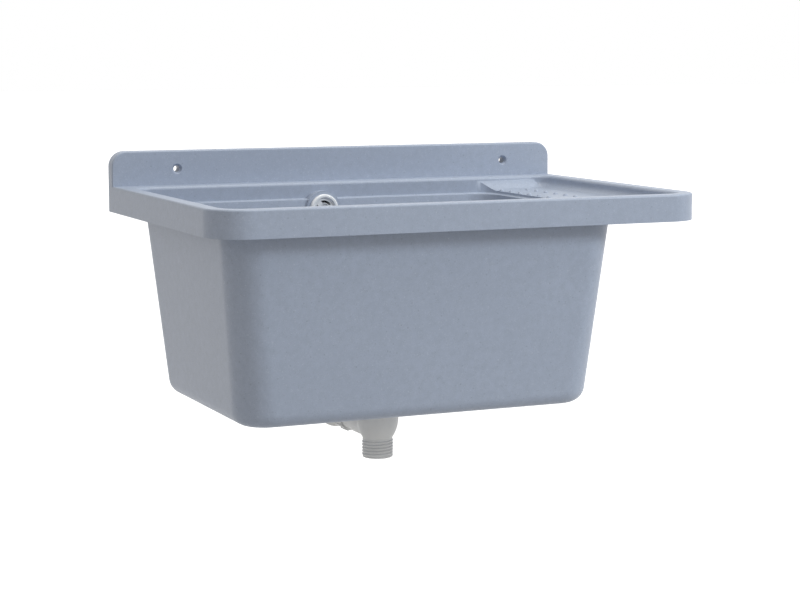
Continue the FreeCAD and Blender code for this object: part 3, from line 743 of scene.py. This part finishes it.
def hose_curve():
    """Bezier line of the hose: back from the port, a slight sag, then up behind the tub."""
    size = sizes()
    low, high = low_high("overflow_hose")
    x = middle("overflow_hose").x
    start = Vector((x, low.y, middle("lower_hose_seal").z))
    end = Vector((x, middle("upper_hose_seal").y, high.z))
    dip = start + Vector((0.0, size.hose_collar_height + size.hose_cuff_length, 0.0))
    sag = Vector((x, end.y, start.z - size.hose_sag))
    run = sag - dip
    heading = run.normalized()
    rise = Vector((0.0, 0.0, 1.0))
    onward = Vector((0.0, 1.0, 0.0))
    turns = (
        (dip, onward, heading, DIP_SHARE * run.length),
        (sag, heading, rise, BEND_SHARE * run.length),
    )
    knots = [(start, onward, size.hose_end_grip)]
    for corner, inward, outward, reach in turns:
        half = inward.angle(outward) / 2
        # A handle of this length makes the span between two knots follow a circle
        grip = 4 / 3 * math.tan(half / 2) * reach / math.tan(half)
        knots.append((corner - inward * reach, inward, grip))
        knots.append((corner + outward * reach, outward, grip))
    knots.append((end, rise, size.hose_end_grip))
    curve = bpy.data.curves.new("hose_line", "CURVE")
    curve.dimensions = "3D"
    curve.resolution_u = HOSE_STEPS
    spline = curve.splines.new("BEZIER")
    spline.bezier_points.add(len(knots) - 1)
    for point, (place, way, grip) in zip(spline.bezier_points, knots):
        point.handle_left_type = "FREE"
        point.handle_right_type = "FREE"
        point.co = place
        point.handle_left = place - way * grip
        point.handle_right = place + way * grip
    return curve


def tree_math(tree, operation, first, second=None, third=None):
    """Result of a sum on sockets or plain numbers, in a geometry or shader tree."""
    made = tree.nodes.new("ShaderNodeMath")
    made.operation = operation
    for socket, value in zip(made.inputs, (first, second, third)):
        if isinstance(value, bpy.types.NodeSocket):
            tree.links.new(value, socket)
        elif value is not None:
            socket.default_value = value
    return made.outputs[0]


def chosen(tree, test, no, yes):
    """Number that depends on a test."""
    made = tree.nodes.new("GeometryNodeSwitch")
    made.input_type = "FLOAT"
    tree.links.new(test, made.inputs["Switch"])
    for name, value in (("False", no), ("True", yes)):
        tree.links.new(value, made.inputs[name])
    return made.outputs["Output"]


def hose_radius(tree, given):
    """Radius along the hose: collars and plain cuffs at its ends, ribs between them."""
    along = tree.nodes.new("GeometryNodeSplineParameter").outputs["Length"]
    whole = tree.nodes.new("GeometryNodeSplineLength").outputs["Length"]
    from_end = tree_math(tree, "MINIMUM", along, tree_math(tree, "SUBTRACT", whole, along))
    plain = tree_math(tree, "ADD", given["Cuff Length"], given["Collar Height"])
    past_cuff = tree_math(tree, "SUBTRACT", along, plain)
    wave = tree_math(tree, "DIVIDE", past_cuff, given["Rib Pitch"])
    swing = tree_math(tree, "COSINE", tree_math(tree, "MULTIPLY", wave, 2 * math.pi))
    groove = tree_math(tree, "MULTIPLY_ADD", swing, 0.5, 0.5)
    groove = tree_math(tree, "POWER", groove, GROOVE_SHARPNESS)
    depth = tree_math(tree, "MULTIPLY", groove, given["Rib Depth"])
    ribbed = tree_math(tree, "SUBTRACT", given["Rib Radius"], depth)
    in_collar = tree_math(tree, "LESS_THAN", from_end, given["Collar Height"])
    in_cuff = tree_math(tree, "LESS_THAN", from_end, plain)
    smooth_end = chosen(tree, in_collar, given["Cuff Radius"], given["Collar Radius"])
    return chosen(tree, in_cuff, ribbed, smooth_end)


def ribbed_hose_tree(material):
    """Geometry nodes that sweep a ribbed tube with plain cuffs and end collars along a curve."""
    tree = bpy.data.node_groups.new("ribbed_hose", "GeometryNodeTree")
    tree.is_modifier = True
    panel = tree.interface
    panel.new_socket("Geometry", in_out="INPUT", socket_type="NodeSocketGeometry")
    panel.new_socket("Geometry", in_out="OUTPUT", socket_type="NodeSocketGeometry")
    for name in (
        "Rib Radius", "Rib Pitch", "Rib Depth", "Cuff Radius", "Cuff Length", "Collar Radius",
        "Collar Height",
    ):
        panel.new_socket(name, in_out="INPUT", socket_type="NodeSocketFloat")
    given = tree.nodes.new("NodeGroupInput").outputs
    resample = tree.nodes.new("GeometryNodeResampleCurve")
    resample.inputs["Count"].default_value = HOSE_ROWS
    tree.links.new(given["Geometry"], resample.inputs["Curve"])
    circle = tree.nodes.new("GeometryNodeCurvePrimitiveCircle")
    circle.inputs["Resolution"].default_value = HOSE_TURN
    circle.inputs["Radius"].default_value = 1.0
    sweep = tree.nodes.new("GeometryNodeCurveToMesh")
    sweep.inputs["Fill Caps"].default_value = True
    tree.links.new(resample.outputs["Curve"], sweep.inputs["Curve"])
    tree.links.new(hose_radius(tree, given), sweep.inputs["Scale"])
    tree.links.new(circle.outputs["Curve"], sweep.inputs["Profile Curve"])
    real = tree.nodes.new("GeometryNodeRealizeInstances")
    tree.links.new(sweep.outputs["Mesh"], real.inputs["Geometry"])
    finish = tree.nodes.new("GeometryNodeSetMaterial")
    finish.inputs["Material"].default_value = material
    tree.links.new(real.outputs["Geometry"], finish.inputs["Geometry"])
    result = tree.nodes.new("NodeGroupOutput")
    tree.links.new(finish.outputs["Geometry"], result.inputs["Geometry"])
    return tree


def set_tree_inputs(modifier, values):
    """Values on a modifier's inputs, found by their names and set by their identifiers."""
    for item in modifier.node_group.interface.items_tree:
        if item.in_out == "INPUT" and item.name in values:
            modifier[item.identifier] = values[item.name]


def hose_mesh(material):
    """Plain mesh of the ribbed hose."""
    size = sizes()
    holder = bpy.data.objects.new("hose_line", hose_curve())
    bpy.context.scene.collection.objects.link(holder)
    modifier = holder.modifiers.new("ribs", "NODES")
    modifier.node_group = ribbed_hose_tree(material)
    set_tree_inputs(modifier, {
        "Rib Radius": size.hose_radius,
        "Rib Pitch": size.hose_rib_pitch,
        "Rib Depth": size.hose_rib_depth,
        "Cuff Radius": size.hose_cuff_radius,
        "Cuff Length": size.hose_cuff_length,
        "Collar Radius": size.hose_collar_radius,
        "Collar Height": size.hose_collar_height,
    })
    view = bpy.context.evaluated_depsgraph_get()
    mesh = bpy.data.meshes.new_from_object(holder.evaluated_get(view))
    bpy.data.objects.remove(holder)
    work = bmesh.new()
    work.from_mesh(mesh)
    bmesh.ops.remove_doubles(work, verts=work.verts, dist=WELD)
    bmesh.ops.recalc_face_normals(work, faces=work.faces)
    work.to_mesh(mesh)
    work.free()
    return mesh


def screw_mesh(head_radius, head_height, shank_radius, length):
    """Round-headed screw with a cross slot and a threaded shank; the head stands on z = 0."""
    size = sizes()
    bulge = head_height * CROWN_SHARE
    crown = quarter(
        head_radius - bulge, head_height * (1 - CROWN_SHARE), bulge, bulge, 0, 90, CROWN_STEPS
    )
    pitch = shank_radius * SCREW_PITCH_SHARE
    shank = [(shank_radius, -length * i / SCREW_ROWS) for i in range(1, SCREW_ROWS + 1)]
    outline = [(0.0, head_height)] + crown[::-1] + [(head_radius, 0.0), (shank_radius, 0.0)]
    outline += shank + [(0.0, -length)]

    def threaded(radius, height, angle):
        if height >= 0.0 or radius < shank_radius or height <= -length:
            return radius
        phase = (height / pitch - angle / (2 * math.pi)) % 1.0
        return shank_radius * (1.0 - SCREW_THREAD_SHARE * abs(2.0 * phase - 1.0))

    reach = head_radius * SLOT_REACH_SHARE
    depth = size.screw_slot_depth

    def slot():
        return bar(size.screw_slot_width, 2 * depth, -reach, reach, head_height + depth)

    body = lathe(outline, SCREW_TURN, threaded)
    return combined(body, [("DIFFERENCE", mesh) for mesh in turned_copies(slot, SLOT_ANGLES)])


class SINK_OT_basin(bpy.types.Operator):
    """Moulded basin in speckled resin"""

    bl_idname = "sink.basin"
    bl_label = "Basin"

    def execute(self, context):
        mesh = crisp_basin(merged_copy("moulded_basin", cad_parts[BASIN_NODE]))
        mesh = flat_weighted(smoothed(mesh, degrees=32))
        add_piece("moulded_basin", mesh, "sink", "resin", resin_finish(), BASIN_NODE)
        return {"FINISHED"}


class SINK_OT_drain(bpy.types.Operator):
    """Drain body with its threaded tail"""

    bl_idname = "sink.drain"
    bl_label = "Drain body"

    def execute(self, context):
        colour = finishes().grey_plastic
        finish = plastic_finish("drain_plastic", colour, rough=(0.36, 0.48), relief=0.05)
        mesh = smoothed(drain_body_mesh(), degrees=38)
        add_piece(
            "threaded_drain", mesh, "sink", "grey_plastic", finish, "drain_body", "drain_tail"
        )
        return {"FINISHED"}


class SINK_OT_hose(bpy.types.Operator):
    """Ribbed overflow hose"""

    bl_idname = "sink.hose"
    bl_label = "Hose"

    def execute(self, context):
        colour = finishes().hose_plastic
        finish = plastic_finish("hose_plastic", colour, rough=(0.42, 0.55), relief=0.05)
        mesh = smoothed(hose_mesh(finish), degrees=60)
        add_piece("ribbed_hose", mesh, "sink", "grey_plastic", finish, "overflow_hose")
        return {"FINISHED"}


class SINK_OT_screws(bpy.types.Operator):
    """Waste screw and overflow screw with cross slots"""

    bl_idname = "sink.screws"
    bl_label = "Screws"

    def execute(self, context):
        size = sizes()
        finish = metal_finish("screw_steel", finishes().steel, rough=(0.22, 0.36))
        low, high = low_high("waste_screw")
        place = middle("waste_screw")
        head = size.waste_head_height
        length = high.z - low.z - head
        mesh = screw_mesh(size.waste_head_radius, head, size.waste_shank_radius, length)
        mesh.transform(Matrix.Translation((place.x, place.y, high.z - head)))
        mesh = smoothed(mesh, degrees=30)
        add_piece("waste_cross_screw", mesh, "sink", "steel", finish, "waste_screw")
        low, high = low_high("overflow_screw")
        place = middle("overflow_screw")
        head = size.overflow_head_height
        length = high.y - low.y - head
        mesh = screw_mesh(size.overflow_head_radius, head, size.overflow_shank_radius, length)
        mesh.transform(Matrix.Translation((place.x, low.y + head, place.z)) @ TO_FRONT)
        mesh = smoothed(mesh, degrees=30)
        add_piece("overflow_cross_screw", mesh, "sink", "steel", finish, "overflow_screw")
        return {"FINISHED"}


class SINK_OT_fittings(bpy.types.Operator):
    """Hose nuts, elbow, overflow ring and threaded inserts"""

    bl_idname = "sink.fittings"
    bl_label = "Fittings"

    def execute(self, context):
        look = finishes()
        dress(GREY_NODES, plastic_finish(
            "fitting_plastic", look.grey_plastic, rough=(0.36, 0.48), relief=0.06
        ))
        finish = plastic_finish(
            "ring_plastic", look.white_plastic, rough=(0.16, 0.26), relief=0.02, coat=0.4
        )
        place = middle("overflow_rosette")
        pad = low_high("overflow_rosette")[0].y + sizes().ring_height
        mesh = overflow_ring_mesh()
        mesh.transform(Matrix.Translation((place.x, pad, place.z)) @ TO_FRONT)
        mesh = smoothed(mesh, degrees=34)
        add_piece(
            "slotted_overflow_ring", mesh, "sink", "white_plastic", finish, "overflow_rosette"
        )
        dress(BRASS_NODES, metal_finish(
            "insert_brass", look.brass, rough=(0.25, 0.4), stretch=(0.2, 0.2, 2.0)
        ))
        return {"FINISHED"}


class SINK_OT_waste(bpy.types.Operator):
    """Steel waste flange, stud and bail"""

    bl_idname = "sink.waste"
    bl_label = "Steel waste"

    def execute(self, context):
        dress(STEEL_NODES, metal_finish(
            "brushed_steel", finishes().steel, rough=(0.2, 0.36), stretch=(0.25, 2.0, 1.0)
        ))
        return {"FINISHED"}


class SINK_OT_rubber(bpy.types.Operator):
    """Stopper and flat seals in rubber"""

    bl_idname = "sink.rubber"
    bl_label = "Plug and seals"

    def execute(self, context):
        look = finishes()
        dress(SEAL_NODES, rubber_finish("seal_rubber", look.seal_rubber))
        dress(PLUG_NODES, rubber_finish("plug_rubber", look.plug_rubber))
        return {"FINISHED"}


def seen_rays(tree):
    """One for rays that are seen, mirrored or let through, zero for those that only light."""
    path = tree.nodes.new("ShaderNodeLightPath")
    seen = tree_math(tree, "MAXIMUM", path.outputs["Is Camera Ray"], path.outputs["Is Glossy Ray"])
    return tree_math(tree, "MAXIMUM", seen, path.outputs["Is Transmission Ray"])


def floor_finish():
    """Plain pale floor that shows nearly white and keeps a soft shadow."""
    material, tree, shader, place = new_finish("pale_floor")
    cloud = spread(tree, noise(tree, place, "clouding", scale=1.5), NOISE_SPAN)
    colour = finishes().floor
    ground = mixed(tree, cloud, scaled(colour, 0.995), scaled(colour, 1.005))
    tree.links.new(ground, shader.inputs["Base Color"])
    shader.inputs["Roughness"].default_value = 0.9
    shader.inputs["Emission Color"].default_value = (*WHITE, 1.0)
    away = tree.nodes.new("ShaderNodeVectorMath")
    away.operation = "LENGTH"
    tree.links.new(place, away.inputs[0])
    glow = spread(tree, away.outputs["Value"], GLOW_REACH, GLOW_SPAN)
    seen_glow = tree_math(tree, "MULTIPLY", glow, seen_rays(tree))
    tree.links.new(seen_glow, shader.inputs["Emission Strength"])
    return material


def add_light(name, place, aim, width, power, colour):
    """Soft square lamp that points at a place."""
    data = bpy.data.lights.new(name, "AREA")
    data.shape = "SQUARE"
    data.size = width
    data.energy = power
    data.color = colour
    lamp = bpy.data.objects.new(name, data)
    lamp.location = place
    lamp.rotation_euler = (Vector(aim) - Vector(place)).to_track_quat("-Z", "Y").to_euler()
    bpy.context.scene.collection.objects.link(lamp)


def add_floor():
    """Wide floor under the sink."""
    mesh = bpy.data.meshes.new("floor")
    work = bmesh.new()
    bmesh.ops.create_grid(work, x_segments=1, y_segments=1, size=FLOOR_SIZE)
    bmesh.ops.translate(work, verts=work.verts, vec=(0.0, 0.0, -sizes().floor_drop))
    work.to_mesh(mesh)
    work.free()
    mesh.materials.append(floor_finish())
    floor = bpy.data.objects.new("floor", mesh)
    bpy.context.scene.collection.objects.link(floor)


def light_around():
    """Even light from around that is seen as white."""
    world = bpy.data.worlds.new("studio")
    bpy.context.scene.world = world
    world.use_nodes = True
    tree = world.node_tree
    back = tree.nodes["Background"]
    tree.links.new(mixed(tree, seen_rays(tree), STUDIO_LIGHT, WHITE), back.inputs["Color"])


def add_camera():
    """Camera that looks at the sink from the left, a little from above."""
    scene = bpy.context.scene
    data = bpy.data.cameras.new("camera")
    data.sensor_width = SENSOR_WIDTH
    data.lens = CAMERA_LENS
    camera = bpy.data.objects.new("camera", data)
    camera.location = CAMERA_PLACE
    camera.rotation_euler = (math.radians(CAMERA_TILT), 0.0, math.radians(CAMERA_PAN))
    scene.collection.objects.link(camera)
    scene.camera = camera


class SINK_OT_stage(bpy.types.Operator):
    """Floor, light and camera"""

    bl_idname = "sink.stage"
    bl_label = "Stage"

    def execute(self, context):
        context.scene.view_settings.view_transform = "Standard"
        add_floor()
        light_around()
        add_light(
            "over", place=(0.2, -0.5, 2.3), aim=(0.0, -0.2, -0.1),
            width=1.8, power=34.0, colour=(1.0, 1.0, 0.96),
        )
        add_light(
            "front", place=(1.8, -2.15, 1.2), aim=(0.0, -0.3, -0.15),
            width=0.7, power=36.5, colour=(0.88, 0.945, 1.0),
        )
        add_camera()
        return {"FINISHED"}


OPERATORS = (
    SINK_OT_basin, SINK_OT_drain, SINK_OT_hose, SINK_OT_screws, SINK_OT_fittings, SINK_OT_waste,
    SINK_OT_rubber, SINK_OT_stage,
)


class SINK_PT_pieces(bpy.types.Panel):
    """Pieces of the sink"""

    bl_idname = "SINK_PT_pieces"
    bl_label = "Wall-mounted sink"
    bl_space_type = "VIEW_3D"
    bl_region_type = "UI"
    bl_category = "Sink"

    def draw(self, context):
        for operator in OPERATORS:
            self.layout.operator(operator.bl_idname)
        for group in (context.scene.sink_sizes, context.scene.sink_finishes):
            column = self.layout.column(align=True)
            for name in group.bl_rna.properties.keys():
                if name not in ("rna_type", "name"):
                    column.prop(group, name)


CLASSES = (SinkSizes, SinkFinishes) + OPERATORS + (SINK_PT_pieces,)


def register():
    """Adds the classes and the scene's values."""
    for item in CLASSES:
        bpy.utils.register_class(item)
    bpy.types.Scene.sink_sizes = PointerProperty(type=SinkSizes)
    bpy.types.Scene.sink_finishes = PointerProperty(type=SinkFinishes)


def unregister():
    """Takes the classes and the scene's values away."""
    del bpy.types.Scene.sink_finishes
    del bpy.types.Scene.sink_sizes
    for item in reversed(CLASSES):
        bpy.utils.unregister_class(item)


def main():
    """Builds every piece and the stage."""
    register()
    bpy.ops.sink.basin()
    bpy.ops.sink.drain()
    bpy.ops.sink.hose()
    bpy.ops.sink.screws()
    bpy.ops.sink.fittings()
    bpy.ops.sink.waste()
    bpy.ops.sink.rubber()
    bpy.ops.sink.stage()


if __name__ == "__main__":
    main()
